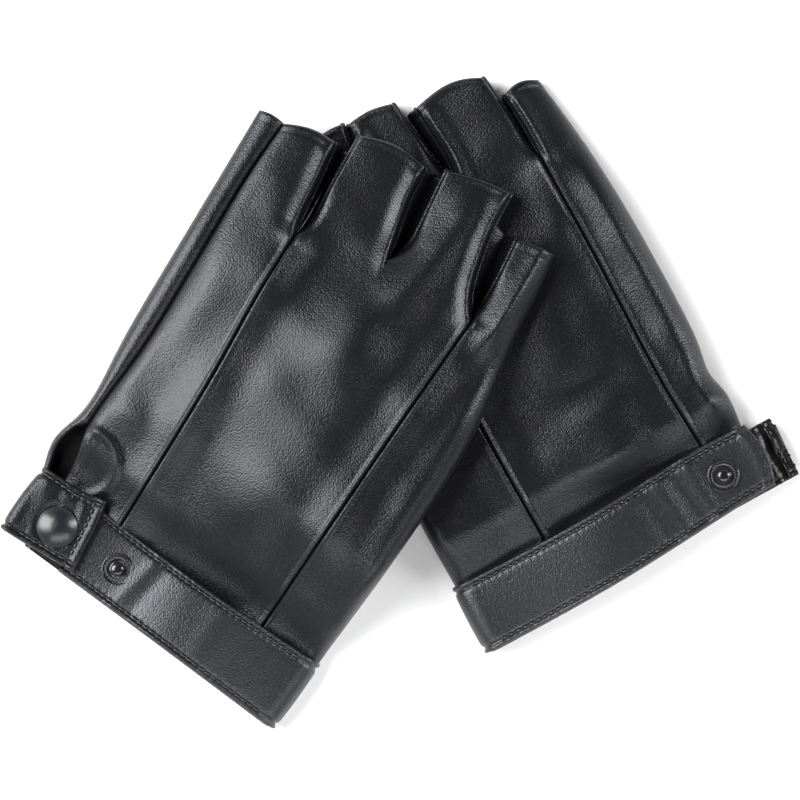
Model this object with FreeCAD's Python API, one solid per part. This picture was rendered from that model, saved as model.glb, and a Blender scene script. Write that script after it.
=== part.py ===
"""A pair of black leather fingerless gloves at rest on a table: the right-hand glove lies across the left-hand one.

Each glove is cut the way a sewn glove is: three back panels, a palm panel, a thumb, three fourchettes between
the fingers, a lining, and a cuff band that closes with a snap tab. Millimetres, +Z up, origin under the middle
of the pair on the table.

A glove is drawn in its own hand frame: u runs across the hand from the index side (negative) to the little
side (positive), v runs from the cuff's lower edge to the fingertips.
"""

import FreeCAD, Part
import math
import os

Vector = FreeCAD.Vector

# Driving dimensions, in millimetres.
LEATHER = 1.0  # one layer of leather
LINING = 0.35
BAND = 1.5  # the cuff band is leather folded double
FACING = 0.4
STRAP = 1.7  # the snap tab, leather and facing together
HAND_THICK = 9.8  # a glove that lies empty, over its middle
EDGE_DROP = 2.6  # how much thinner it is along its two sides
EDGE_REACH = 13.0
CUFF_DROP = 0.8  # the panels dip where they run under the cuff band
THUMB_THICK = 3.6  # the thumb lies pressed flat under the palm
THUMB_WALL = 0.9
GAP = 0.05  # between two layers that touch
CUFF_JOIN = 0.1  # between the band's upper edge and the panels
BAND_EDGE = 23.0  # the hand's panels start to rise from here
PALM_CLEAR = 0.25  # the palm lies just clear of the table, which the cuff rests on
LIFT_EASE = 34.0
PILE_HEIGHT = HAND_THICK + 1.0  # how far the upper glove is lifted where it lies on the lower one
RAMP_START, RAMP_END = -96.0, -4.0  # where the lift starts and ends, measured from the lower glove's side
TALL = 70.0  # height of the cutting prisms
FAR = 400.0  # beyond every edge of the pair
SNAP_CAP_R, SNAP_CAP_RISE = 6.1, 2.6
SOCKET_R, SOCKET_TALL, SOCKET_BORE_R = 5.4, 2.2, 2.1
STUD_R, STUD_BASE, KNOB_R, KNOB_TALL = 4.7, 0.8, 1.8, 2.6
POST_R, POST_FLANGE_R, POST_FLANGE = 1.2, 4.2, 0.5
STITCH, STITCH_PITCH, STITCH_WIDE, STITCH_HIGH = 2.1, 3.0, 0.55, 0.35
STITCH_INSET = 1.8  # from the band's edge to its row of stitches
UPPER_ORIGIN, UPPER_TURN = (-77.7, -66.4), -36.1  # where the middle of a cuff's lower edge lies, and its turn
LOWER_ORIGIN, LOWER_TURN = (71.7, -50.6), 27.65

# The right-hand glove. Each line is a few points (u, v) that a smooth curve passes through.
RIGHT = {
    "outer_index": [(-49.5, 21.0), (-52.0, 30.0), (-50.3, 39.0), (-50.8, 48.0), (-52.5, 60.0), (-55.8, 91.0),
                    (-58.2, 118.0), (-60.5, 144.3)],
    "seam_index": [(-42.8, 21.0), (-44.2, 30.0), (-46.4, 37.5), (-47.2, 46.0), (-46.7, 60.0), (-48.5, 90.0),
                   (-50.2, 108.0), (-51.5, 125.0), (-52.2, 145.3)],
    "fold_tip": [(-60.5, 144.3), (-56.4, 145.4), (-52.2, 145.3)],
    "tips": [[(-52.2, 145.3), (-45.0, 148.7), (-36.3, 149.7)],
             [(-31.9, 155.6), (-24.0, 159.0), (-10.5, 159.6)],
             [(-5.1, 162.4), (5.0, 166.4), (14.3, 168.4)],
             [(23.6, 158.0), (29.0, 160.0), (35.4, 161.0)]],
    "gaps": [[[(-36.3, 149.7), (-33.2, 135.0), (-31.2, 125.0), (-30.0, 120.6)],
              [(-30.0, 120.6), (-28.9, 126.0), (-29.6, 136.0), (-31.9, 155.6)]],
             [[(-10.5, 159.6), (-8.7, 149.0), (-5.8, 139.0), (-3.4, 130.8)],
              [(-3.4, 130.8), (-1.4, 137.0), (-2.1, 146.0), (-5.1, 162.4)]],
             [[(14.3, 168.4), (16.0, 157.0), (19.0, 146.0), (22.6, 137.0), (27.0, 130.8)],
              [(27.0, 130.8), (26.6, 138.0), (25.6, 147.0), (23.6, 158.0)]]],
    "seam_1": [(-30.0, 120.6), (-28.5, 100.0), (-25.5, 75.0), (-23.2, 48.0), (-21.3, 21.0)],
    "seam_2": [(27.0, 130.8), (27.6, 100.0), (28.8, 60.0), (30.2, 21.0)],
    "outer_little": [(35.4, 161.0), (38.0, 149.0), (41.5, 130.0), (46.8, 108.0), (49.2, 88.0), (50.2, 60.0),
                     (50.2, 21.0)],
    "band_top": [(-49.6, 21.8), (0.0, 20.5), (50.4, 22.0)],
    "band_low": [(-50.0, -1.0), (0.0, -1.2), (50.5, -1.8)],
    "back_band_end": (-27.0, -27.0),
    "index_fold": True,
    "stud": (-14.4, 9.6),
    "snap": (-36.2, 9.2),
    "thumb_turn": -14.0,
}

# The left-hand glove, in the same frame, so the sign of u is turned over when it is placed.
LEFT = {
    "outer_index": [(-46.0, 23.5), (-46.8, 31.0), (-46.4, 36.5), (-45.1, 41.5), (-45.9, 50.0), (-46.6, 62.0),
                    (-46.3, 85.0), (-45.0, 110.0), (-43.0, 128.0), (-40.6, 143.3)],
    "tips": [[(-40.6, 143.3), (-36.0, 145.2), (-29.2, 144.0)],
             [(-26.2, 151.5), (-20.0, 154.0), (-4.2, 152.6)],
             [(1.0, 157.0), (8.0, 158.4), (15.9, 157.6)],
             [(17.2, 158.6), (23.0, 158.8), (31.0, 156.0)]],
    "gaps": [[[(-29.2, 144.0), (-30.1, 134.0), (-30.2, 122.0)],
              [(-30.2, 122.0), (-29.0, 130.0), (-27.4, 142.0), (-26.2, 151.5)]],
             [[(-4.2, 152.6), (-5.2, 142.0), (-5.6, 134.0), (-4.4, 126.0)],
              [(-4.4, 126.0), (-2.2, 134.0), (-0.5, 144.0), (1.0, 157.0)]],
             [[(15.9, 157.6), (16.8, 146.0), (18.6, 134.0), (22.0, 125.0)],
              [(22.0, 125.0), (20.6, 134.0), (18.7, 146.0), (17.2, 158.6)]]],
    "seam_1": [(-30.2, 122.0), (-30.8, 100.0), (-31.0, 70.0), (-31.2, 45.0), (-32.8, 23.0)],
    "seam_2": [(22.0, 125.0), (22.6, 100.0), (22.6, 60.0), (21.4, 22.0)],
    "outer_little": [(31.0, 156.0), (36.0, 142.0), (42.0, 120.0), (47.5, 95.0), (50.6, 70.0), (51.8, 45.0),
                     (51.2, 21.5)],
    "band_top": [(-54.6, 23.4), (-46.8, 24.2), (0.0, 22.2), (51.5, 21.4)],
    "band_low": [(-54.6, 4.6), (-47.2, 4.4), (0.0, 0.8), (52.0, -0.6)],
    "back_band_end": (-46.8, -47.2),
    "index_fold": False,
    "stud": (-34.5, 13.7),
    "snap": (-42.7, 11.0),
    "thumb_turn": -14.0,
}

# The snap tabs. The right-hand one folds over the cuff; the left-hand strap is tucked under the cuff's end.
TAB_HINGE_U = -43.85
TAB_RISE = 12.7  # height of the right-hand tab's outer face
HINGE_GAP = 0.3  # between a tab and the band at the line where the leather bends
RIGHT_TAB = [(-46.0, 21.6), (-28.3, 24.0), (-24.2, 1.4)]
RIGHT_TAB_ROOT = (21.6, -0.9)
LEFT_STRAP = [(-54.6, 22.4), (-8.0, 21.4), (-8.0, 2.6), (-54.4, 3.6)]
LEFT_STRAP_LOW = 2.75
LEFT_PALM_BAND_END = -29.5

# The thumb, drawn about the middle of its root, pointing towards the fingertips.
THUMB_AT = (-24.0, 50.0)
THUMB_HALF, THUMB_TIP_HALF, THUMB_LONG = 14.0, 12.0, 44.0
THUMB_HOLE = (10.0, 8.0)
THUMB_FLAT_FROM, THUMB_FLAT_TO = 36.0, 98.0  # the palm lies a thumb's thickness up between these
THUMB_EASE = 30.0

LINING_FROM, LINING_TO = 24.0, 116.0
LINING_INSET = 2.2


def smooth(t):
    """0 below 0, 1 above 1, and a smooth step between."""
    t = min(1.0, max(0.0, t))
    return t * t * (3 - 2 * t)


def thumb_rise(v):
    """How far the flat thumb lifts the palm at a distance up the hand."""
    near = (v - BAND_EDGE) / (THUMB_FLAT_FROM - BAND_EDGE)
    return THUMB_THICK * smooth(near) * smooth((THUMB_FLAT_TO + THUMB_EASE - v) / THUMB_EASE)


def curve_value(points, v):
    """The u of a line of points at v, by straight interpolation."""
    pairs = sorted((b, a) for a, b in points)
    if v <= pairs[0][0]:
        return pairs[0][1]
    for (v0, u0), (v1, u1) in zip(pairs, pairs[1:]):
        if v <= v1:
            return u0 + (u1 - u0) * (v - v0) / (v1 - v0)
    return pairs[-1][1]


class Glove:
    """One glove: its hand frame, the height of its underside and top, and the solids cut from them."""

    grid_u = [-66 + 5.2 * i for i in range(25)]
    grid_v = [12 + 5.5 * i for i in range(30)]

    def __init__(self, name, cut, origin, turn, mirrored, lift):
        self.name, self.cut, self.origin, self.lift = name, cut, origin, lift
        a = math.radians(turn)
        self.v_axis = (-math.sin(a), math.cos(a))
        flip = -1 if mirrored else 1
        self.u_axis = (flip * math.cos(a), flip * math.sin(a))
        self.faces = {}

    def at(self, u, v, z=0.0):
        """A point of the hand frame in the part's frame."""
        x = self.origin[0] + u * self.u_axis[0] + v * self.v_axis[0]
        y = self.origin[1] + u * self.u_axis[1] + v * self.v_axis[1]
        return Vector(x, y, z)

    def along_u(self, length=1.0):
        return Vector(self.u_axis[0], self.u_axis[1], 0) * length

    def along_v(self, length=1.0):
        return Vector(self.v_axis[0], self.v_axis[1], 0) * length

    def hand_frame(self, p):
        """The (u, v) of a point of the part's frame."""
        x, y = p.x - self.origin[0], p.y - self.origin[1]
        return x * self.u_axis[0] + y * self.u_axis[1], x * self.v_axis[0] + y * self.v_axis[1]

    def base(self, u, v):
        """Height of what lies under the thumb: the table, or the other glove."""
        return self.lift(self.at(u, v)) * smooth((v - BAND_EDGE) / LIFT_EASE)

    def underside(self, u, v):
        """Height of the palm's outer face, which lies on the flat thumb."""
        return PALM_CLEAR + self.base(u, v) + thumb_rise(v)

    def thickness(self, u, v):
        left = u - curve_value(self.cut["outer_index"], v)
        right = curve_value(self.cut["outer_little"], v) - u
        side = 1 - smooth(min(left, right) / EDGE_REACH)
        return HAND_THICK - PALM_CLEAR - EDGE_DROP * side - CUFF_DROP * (1 - smooth((v - BAND_EDGE) / BAND_EDGE))

    def top(self, u, v):
        return self.underside(u, v) + self.thickness(u, v)

    def face(self, which):
        """The base, the underside or the top as a smooth surface."""
        if which not in self.faces:
            height = {"base": self.base, "low": self.underside, "high": self.top}[which]
            surface = Part.BSplineSurface()
            surface.interpolate([[self.at(u, v, height(u, v)) for v in self.grid_v] for u in self.grid_u])
            self.faces[which] = surface.toShape()
        return self.faces[which].copy()

    def layer(self, plan, which, low, high):
        """The part of a sheet between two offsets from a face that lies inside a plan and above the cuff band."""
        sheet = self.face(which)
        sheet.translate(Vector(0, 0, low))
        return sheet.extrude(Vector(0, 0, high - low)).common(prism(plan)).cut(self.below_band())

    def wall(self, plan, low=LEATHER + GAP, high=-LEATHER - GAP):
        """An upright wall inside a plan, between an offset from the underside and one from the top."""
        floor, roof = self.face("low"), self.face("high")
        floor.translate(Vector(0, 0, low))
        roof.translate(Vector(0, 0, high))
        above = floor.extrude(Vector(0, 0, TALL))
        below = roof.extrude(Vector(0, 0, -TALL))
        return prism(plan).common(above).common(below).cut(self.below_band())

    def below_band(self):
        """Everything below the line where the band meets the panels."""
        edge = [(u, v + CUFF_JOIN) for u, v in self.cut["band_top"]]
        (u0, v0), (u1, v1) = edge[0], edge[-1]
        far = [(u0 - 30, v0), (u0 - 30, v0 - 60), (u1 + 30, v1 - 60), (u1 + 30, v1)]
        return prism(self.plan(edge, [edge[0], far[0]], far[:2], far[1:3], far[2:], [far[3], edge[-1]]))

    def spline(self, points):
        curve = Part.BSplineCurve()
        curve.interpolate([self.at(u, v) for u, v in points])
        return curve.toShape()

    def line(self, a, b):
        return Part.makeLine(self.at(*a), self.at(*b))

    def plan(self, *runs):
        """A flat face inside a closed chain of runs; a run of two points is straight."""
        edges = []
        for run in runs:
            edges.append(self.line(*run) if len(run) == 2 else self.spline(run))
        return Part.Face(Part.Wire(Part.__sortEdges__(edges)))

    def ribbon(self, path, wide):
        """A flat strip along a path, between the path and its copy moved sideways, to its left if wide is positive."""
        moved = []
        for i, (u, v) in enumerate(path):
            (u0, v0), (u1, v1) = path[max(0, i - 1)], path[min(len(path) - 1, i + 1)]
            long = math.hypot(u1 - u0, v1 - v0)
            moved.append((u - wide * (v1 - v0) / long, v + wide * (u1 - u0) / long))
        return self.plan(path, moved, [path[0], moved[0]], [path[-1], moved[-1]])

    def profile(self, outline, v0, v1):
        """A closed outline in (u, z), each run a list of two points or three for an arc, extruded along v."""
        edges = []
        for run in outline:
            points = [self.at(u, v0, z) for u, z in run]
            edges.append(Part.makeLine(*points) if len(run) == 2 else Part.Arc(*points).toShape())
        return Part.Face(Part.Wire(Part.__sortEdges__(edges))).extrude(self.along_v(v1 - v0))

    def turned(self, profile, u, v, z, down=False):
        """A solid of revolution about the vertical through (u, v), from runs of (radius, height)."""
        sign = -1 if down else 1
        edges = []
        for run in profile:
            points = [Vector(r, 0, sign * h) for r, h in run]
            edges.append(Part.makeLine(*points) if len(run) == 2 else Part.Arc(*points).toShape())
        solid = Part.Face(Part.Wire(Part.__sortEdges__(edges))).revolve(Vector(0, 0, 0), Vector(0, 0, 1), 360)
        solid.translate(self.at(u, v, z))
        return solid


def dome(radius, base, rise):
    """An arc from the rim of a shallow dome to its crown, as three points of (radius, height)."""
    ball = (radius * radius + rise * rise) / (2 * rise)
    half = math.asin(radius / ball) / 2 if rise < radius else math.pi / 4
    crown = base + rise
    return [(radius, base), (ball * math.sin(half), crown - ball * (1 - math.cos(half))), (0, crown)]


def prism(plan, low=-5.0):
    """A plan drawn out into a tall upright prism."""
    block = plan.copy()
    block.translate(Vector(0, 0, low))
    return block.extrude(Vector(0, 0, TALL))


def corners(points):
    """A closed run of straight edges."""
    return [[points[i - 1], points[i]] for i in range(len(points))]


def hole(glove, u, v, radius, low, tall):
    return Part.makeCylinder(radius, tall, glove.at(u, v, low))


def back_panels(g):
    """The three panels of the back: index, centre with two fingers, and little."""
    c = g.cut
    side = c.get("seam_index", c["outer_index"])
    foot = c["seam_1"][-1], c["seam_2"][-1]
    index = g.plan(side, c["tips"][0], c["gaps"][0][0], c["seam_1"], [foot[0], side[0]])
    centre = g.plan(c["seam_1"], c["gaps"][0][1], c["tips"][1], c["gaps"][1][0], c["gaps"][1][1], c["tips"][2],
                    c["gaps"][2][0], c["seam_2"], [foot[0], foot[1]])
    little = g.plan(c["seam_2"], c["gaps"][2][1], c["tips"][3], c["outer_little"], [c["outer_little"][-1], foot[1]])
    made = {}
    for name, plan in (("index", index), ("centre", centre), ("little", little)):
        made[f"back_{name}_panel"] = g.layer(plan, "high", -LEATHER, 0)
    return made


def whole_plan(g):
    """The outline of the whole hand, fingers and all."""
    c = g.cut
    runs = [c["outer_index"]]
    if "fold_tip" in c:
        runs.append(c["fold_tip"])
    for k in range(4):
        runs.append(c["tips"][k])
        if k < 3:
            runs += c["gaps"][k]
    return g.plan(*runs, c["outer_little"], [c["outer_little"][-1], c["outer_index"][0]])


def thumb_frame(g):
    """Maps points drawn about the thumb's root into the hand frame."""
    a = math.radians(g.cut["thumb_turn"])

    def place(p):
        return (THUMB_AT[0] + p[0] * math.cos(a) - p[1] * math.sin(a),
                THUMB_AT[1] + p[0] * math.sin(a) + p[1] * math.cos(a))

    return place


def thumb_plan(g, inset=0.0, tip=0.0):
    """The thumb from above: round at the root, tapering to an open tip."""
    place = thumb_frame(g)
    half, end, far = THUMB_HALF - inset, THUMB_TIP_HALF - inset, THUMB_LONG + tip
    root = [(-half, 0), (-0.72 * half, -0.72 * half), (0, -half), (0.72 * half, -0.72 * half), (half, 0)]
    return g.plan([place(p) for p in root], [place((half, 0)), place((end, far))],
                  [place((end, far)), place((-end, far))], [place((-end, far)), place((-half, 0))])


def thumb(g):
    """A flat tube, open at its tip, whose upper side is cut away under the palm's thumb hole."""
    outer = g.layer(thumb_plan(g), "base", GAP, THUMB_THICK)
    inner = g.layer(thumb_plan(g, THUMB_WALL, 5), "base", THUMB_WALL, THUMB_THICK - THUMB_WALL)
    return outer.cut(inner).cut(thumb_hole(g))


def thumb_hole(g):
    """A plug through the palm and the thumb's upper wall, where the thumb is set in."""
    oval = Part.Ellipse(Vector(0, 0, 0), *THUMB_HOLE).toShape()
    plan = Part.Face(Part.Wire([oval]))
    plan.rotate(Vector(0, 0, 0), Vector(0, 0, 1), math.degrees(math.atan2(g.v_axis[1], g.v_axis[0])))
    plan.translate(g.at(*THUMB_AT))
    middle = g.face("base")
    middle.translate(Vector(0, 0, THUMB_THICK / 2))
    return middle.extrude(Vector(0, 0, HAND_THICK / 2)).common(prism(plan))


def slab(low, high):
    return Part.makeBox(2 * FAR, 2 * FAR, high - low, Vector(-FAR, -FAR, low))


def palm(g):
    """The palm with its thumb hole, and the side that it wraps round."""
    sheet = g.layer(whole_plan(g), "low", 0, LEATHER).cut(thumb_hole(g))
    c = g.cut
    half = LEATHER / 2
    if not c["index_fold"]:
        return sheet.fuse(g.wall(g.ribbon(c["outer_little"], -LEATHER), half))
    side = g.wall(g.ribbon(c["outer_index"], -LEATHER), half, -half)
    fold = g.plan(c["outer_index"], c["fold_tip"], c["seam_index"], [c["outer_index"][0], c["seam_index"][0]])
    seam = prism(g.ribbon(c["seam_index"], 2 * GAP))
    return sheet.fuse([side, g.layer(fold, "high", -LEATHER, 0).cut(seam)])


def side_of_back(g):
    """The wall where a back panel turns down the side that the palm doesn't wrap."""
    name, edge = ("little", "outer_little") if g.cut["index_fold"] else ("index", "outer_index")
    return f"back_{name}_panel", g.wall(g.ribbon(g.cut[edge], -LEATHER), high=-LEATHER / 2)


def fourchettes(g):
    """The strip between each two fingers: down the side of one, round the crotch and up the side of the next."""
    names = ("index_middle", "middle_ring", "ring_little")
    made = {}
    for name, (down, up) in zip(names, g.cut["gaps"]):
        (u, v) = down[-1]
        crotch = [(u - 0.45, v + 2.0), (u, v), (u + 0.45, v + 2.0)]
        path = down[:-1] + crotch + up[1:]
        made[f"fourchette_{name}"] = g.wall(g.ribbon(path, -LEATHER))
    return made


def linings(g):
    """The lining of the hand, one sheet inside the back and one inside the palm."""
    c = g.cut
    low, high, inset = LINING_FROM, LINING_TO, LINING_INSET
    side = c.get("seam_index", c["outer_index"])
    left = [(u + inset, v) for u, v in side if low < v < high]
    right = [(u - inset, v) for u, v in c["outer_little"] if low < v < high]
    left = [(left[0][0], low)] + left + [(curve_value(side, high) + inset, high)]
    right = [(curve_value(c["outer_little"], high) - inset, high)] + right + [(right[-1][0], low)]
    plan = g.plan(left, right, [left[-1], right[0]], [right[-1], left[0]])
    return {
        "back_lining": g.layer(plan, "high", -LEATHER - GAP - LINING, -LEATHER - GAP),
        "palm_lining": g.layer(plan, "low", LEATHER + GAP, LEATHER + GAP + LINING).cut(thumb_hole(g)),
    }


def band_plan(g, u0, u1):
    """The cuff from above between two places across the hand."""
    c = g.cut
    whole = g.plan(c["band_top"], c["band_low"], [c["band_low"][0], c["band_top"][0]],
                   [c["band_low"][-1], c["band_top"][-1]])
    return prism(whole).common(prism(g.plan(*corners([(u0, -20), (u0, 40), (u1, 40), (u1, -20)]))))


def quarter_bend(u, z, radius, sign=-1):
    """An arc about (u, z) from straight below it, or above it if sign is 1, round to the hinge line on its left."""
    lean = math.asin(HINGE_GAP / 2 / radius)
    return [(u - radius * math.cos(a), z + sign * radius * math.sin(a))
            for a in (math.pi / 2, (math.pi / 2 + lean) / 2, lean)]


def cuff(g):
    """The cuff band and its inner facing: a flat loop that is open between its two ends."""
    c = g.cut
    top, right = HAND_THICK, c["band_low"][-1][0] + 0.3
    end = c["back_band_end"][0]
    r = top / 2
    made = {}
    for name, out, thick in (("cuff_band", 0.0, BAND), ("cuff_facing", BAND + GAP, FACING)):
        lo, hi, ro = out, top - out, r - out
        ri = ro - thick
        turn = right - r
        run = [[(end, hi), (turn, hi)], [(turn, hi), (turn + ro, r), (turn, lo)],
               [(turn, lo + thick), (turn + ri, r), (turn, hi - thick)], [(turn, hi - thick), (end, hi - thick)],
               [(end, hi - thick), (end, hi)]]
        if c["index_fold"]:
            u, fr = TAB_HINGE_U, TAB_RISE / 2
            bend = quarter_bend(u, fr, fr - out)
            inner_bend = quarter_bend(u, fr, fr - out - thick)
            run += [[(turn, lo), (u, lo)], [(turn, lo + thick), (u, lo + thick)], bend, inner_bend,
                    [bend[-1], inner_bend[-1]]]
            left = u - fr - 1
        else:
            left = LEFT_PALM_BAND_END
            run += [[(turn, lo), (left, lo)], [(turn, lo + thick), (left, lo + thick)],
                    [(left, lo), (left, lo + thick)]]
            left = end - 1
        inset = 0.0 if name == "cuff_band" else 1.2
        band = g.profile(run, -20, 40).common(band_plan(g, left, right + 1))
        if inset:
            shrunk = band.copy()
            shrunk.translate(g.along_v(-inset))
            raised = band.copy()
            raised.translate(g.along_v(inset))
            band = shrunk.common(raised)
        u, v = c["stud"]
        made[name] = band.cut(hole(g, u, v, POST_R + GAP, top / 2, top))
    return made


def stud_and_post(g):
    """The snap's stud on the band, and the post that holds it from inside."""
    u, v = g.cut["stud"]
    z = HAND_THICK + GAP
    inner = HAND_THICK - BAND - GAP - FACING
    neck = KNOB_R * 0.82
    stud = g.turned([[(POST_R + GAP, 0), (STUD_R - 0.3, 0)], [(STUD_R - 0.3, 0), (STUD_R, 0.3)],
                     [(STUD_R, 0.3), (STUD_R - 0.35, STUD_BASE), (STUD_R - 0.8, STUD_BASE - 0.25)],
                     [(STUD_R - 0.8, STUD_BASE - 0.25), (neck + 0.4, 0.35)], [(neck + 0.4, 0.35), (neck, 0.9)],
                     [(neck, 0.9), (KNOB_R, KNOB_TALL - 1.0)],
                     dome(KNOB_R, KNOB_TALL - 1.0, 1.0),
                     [(0, KNOB_TALL), (0, 1.6)], [(0, 1.6), (POST_R + GAP, 1.6)],
                     [(POST_R + GAP, 1.6), (POST_R + GAP, 0)]], u, v, z)
    post = g.turned([[(0, 0), (POST_FLANGE_R, 0)], [(POST_FLANGE_R, 0), (POST_FLANGE_R, -POST_FLANGE)],
                     [(POST_FLANGE_R, -POST_FLANGE), (0, -POST_FLANGE)], [(0, -POST_FLANGE), (0, 0)]],
                    u, v, inner - GAP)
    pin = Part.makeCylinder(POST_R, z + 1.55 - inner + GAP, g.at(u, v, inner - GAP))
    return {"snap_stud": stud, "snap_post": post.fuse(pin)}


def cap_and_socket(g, outer, inner, facing_up):
    """The cap on the strap's outer face, with its shank, and the socket on the inner face."""
    u, v = g.cut["snap"]
    rim, rise = SNAP_CAP_R, SNAP_CAP_RISE
    edge = 0.35
    down = not facing_up
    step = 1 if facing_up else -1
    cap = g.turned([[(0, 0), (rim, 0)], [(rim, 0), (rim, edge)], dome(rim, edge, rise - edge), [(0, rise), (0, 0)]],
                   u, v, outer + step * GAP, down)
    reach = abs(outer - inner) + 1.0
    low = (outer + step * GAP) - (reach if facing_up else 0)
    shank = Part.makeCylinder(POST_R, reach, g.at(u, v, low))
    socket = g.turned([[(POST_R + GAP, 0), (SOCKET_R, 0)], [(SOCKET_R, 0), (SOCKET_R, SOCKET_TALL - 0.6)],
                       [(SOCKET_R, SOCKET_TALL - 0.6), (SOCKET_R - 0.18, SOCKET_TALL - 0.18),
                        (SOCKET_R - 0.6, SOCKET_TALL)],
                       [(SOCKET_R - 0.6, SOCKET_TALL), (SOCKET_BORE_R, SOCKET_TALL)],
                       [(SOCKET_BORE_R, SOCKET_TALL), (SOCKET_BORE_R, 0.85)],
                       [(SOCKET_BORE_R, 0.85), (POST_R + GAP, 0.85)], [(POST_R + GAP, 0.85), (POST_R + GAP, 0)]],
                      u, v, inner - step * GAP, not down)
    return {"snap_cap": cap.fuse(shank), "snap_socket": socket}


def snap_bore(g):
    """The hole through a tab that the cap's shank goes through."""
    return hole(g, *g.cut["snap"], POST_R + GAP, -5, TALL)


def stitch_row(g, points, z, start, stop):
    """Separate stitches end to end along a smooth line on a flat face, one solid each."""
    curve = Part.BSplineCurve()
    curve.interpolate([g.at(u, v) for u, v in points])
    long = curve.length()
    made = []
    at = start
    while at + STITCH <= min(stop, long):
        a = curve.value(curve.parameterAtDistance(at))
        b = curve.value(curve.parameterAtDistance(at + STITCH))
        along = b - a
        across = Vector(-along.y, along.x, 0).normalize() * (STITCH_WIDE / 2)
        corner = [a - across, b - across, b + across, a + across]
        face = Part.Face(Part.makePolygon(corner + [corner[0]]))
        face.translate(Vector(0, 0, z))
        made.append(face.extrude(Vector(0, 0, STITCH_HIGH)))
        at += STITCH_PITCH
    return Part.makeCompound(made)


def shifted(points, dv):
    return [(u, v + dv) for u, v in points]


def cuff_stitches(g):
    """The two rows along the cuff's back."""
    c = g.cut
    z = HAND_THICK + GAP
    start = c["back_band_end"][0] - c["band_top"][0][0] + 1.5
    if c["index_fold"]:
        start += 4.0
    last = c["band_top"][-1][0] - c["band_top"][0][0] - 5.5
    return {
        "cuff_top_stitches": stitch_row(g, shifted(c["band_top"], -STITCH_INSET), z, start, last),
        "cuff_hem_stitches": stitch_row(g, shifted(c["band_low"], STITCH_INSET), z, start, last),
    }


def tab(g):
    """The right-hand glove's tab, folded over the cuff, with its three rows of stitches."""
    u, (v_top, v_low) = TAB_HINGE_U, RIGHT_TAB_ROOT
    fold, end = u - TAB_RISE, max(p[0] for p in RIGHT_TAB) + 1
    plan = g.plan(*corners([(fold, v_top), *RIGHT_TAB, (fold, v_low)]))
    fr = TAB_RISE / 2
    made = {}
    for name, out, thick in (("snap_tab", 0.0, STRAP - FACING - GAP), ("tab_facing", STRAP - FACING, FACING)):
        outer, inner = quarter_bend(u, fr, fr - out, 1), quarter_bend(u, fr, fr - out - thick, 1)
        tip = [(end, outer[0][1]), (end, inner[0][1])]
        run = [outer, inner, [outer[0], tip[0]], [inner[0], tip[1]], tip, [outer[-1], inner[-1]]]
        made[name] = g.profile(run, -20, 40).common(prism(plan)).cut(snap_bore(g))
    made.update(cap_and_socket(g, TAB_RISE, TAB_RISE - STRAP, True))
    i = STITCH_INSET
    (u0, v0), (u1, v1), (u2, v2) = RIGHT_TAB
    z = TAB_RISE + GAP
    rows = [stitch_row(g, [(u0, v0 - i), (u1 - i, v1 - i)], z, 0, 99),
            stitch_row(g, [(u1 - i + 0.3, v1 - i - 2), (u2 - i, v2 + i + 1.2)], z, 0, 99),
            stitch_row(g, [(u2 - i, v2 + i - 0.3), (u + 0.5, v_low + i)], z, 0, 99)]
    made["tab_stitches"] = Part.makeCompound([s for row in rows for s in row.Solids])
    return made


def strap(g):
    """The left-hand glove's strap, tucked under the cuff's end with its inner face up."""
    plan = prism(g.plan(*corners(LEFT_STRAP)))
    low = LEFT_STRAP_LOW
    made = {}
    for name, z, thick in (("snap_tab", low, STRAP - FACING - GAP), ("tab_facing", low + STRAP - FACING, FACING)):
        made[name] = plan.common(slab(z, z + thick)).cut(snap_bore(g))
    made.update(cap_and_socket(g, low, low + STRAP, False))
    i = STITCH_INSET
    (u0, v0), (u1, v1), (u2, v2), (u3, v3) = LEFT_STRAP
    z = low + STRAP + GAP
    rows = [stitch_row(g, [(u0 + i, v0 - i), (u1 - i, v1 - i)], z, 0, 99),
            stitch_row(g, [(u3 + i, v3 + i), (u2 - i, v2 + i)], z, 0, 99),
            stitch_row(g, [(u0 + i, v0 - i - 2), (u3 + i, v3 + i + 1)], z, 0, 99)]
    made["tab_stitches"] = Part.makeCompound([s for row in rows for s in row.Solids])
    return made


def glove_nodes(g):
    """Every piece of a glove, by name."""
    made = back_panels(g)
    name, side = side_of_back(g)
    made[name] = made[name].fuse(side)
    made["palm_panel"] = palm(g)
    made["thumb_panel"] = thumb(g)
    made.update(fourchettes(g))
    made.update(linings(g))
    made.update(cuff(g))
    made.update(stud_and_post(g))
    made.update(cuff_stitches(g))
    made.update(tab(g) if g.cut["index_fold"] else strap(g))
    return {f"{g.name}_{node}": shape for node, shape in made.items()}


lower = Glove("lower", LEFT, LOWER_ORIGIN, LOWER_TURN, True, lambda p: 0.0)


def pile_lift(p):
    """How far the upper glove is lifted at a point, from the distance to the lower glove's little side."""
    a, b = lower.at(50.6, 70.0), lower.at(31.0, 156.0)
    long = (b - a).Length
    inside = ((b.y - a.y) * (p.x - a.x) - (b.x - a.x) * (p.y - a.y)) / long
    over_thumb = thumb_rise(lower.hand_frame(p)[1])
    return (PILE_HEIGHT + over_thumb) * smooth((inside - RAMP_START) / (RAMP_END - RAMP_START))


upper = Glove("upper", RIGHT, UPPER_ORIGIN, UPPER_TURN, False, pile_lift)


def main():
    nodes = {**glove_nodes(lower), **glove_nodes(upper)}
    box = FreeCAD.BoundBox()
    for shape in nodes.values():
        box.add(shape.optimalBoundingBox(False))
    shift = Vector(-box.Center.x, -box.Center.y, -box.ZMin)
    os.makedirs("parts", exist_ok=True)
    for name, shape in nodes.items():
        shape.translate(shift)
        shape.exportStep(f"parts/{name}.step")
    return nodes, shift


main()
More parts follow.
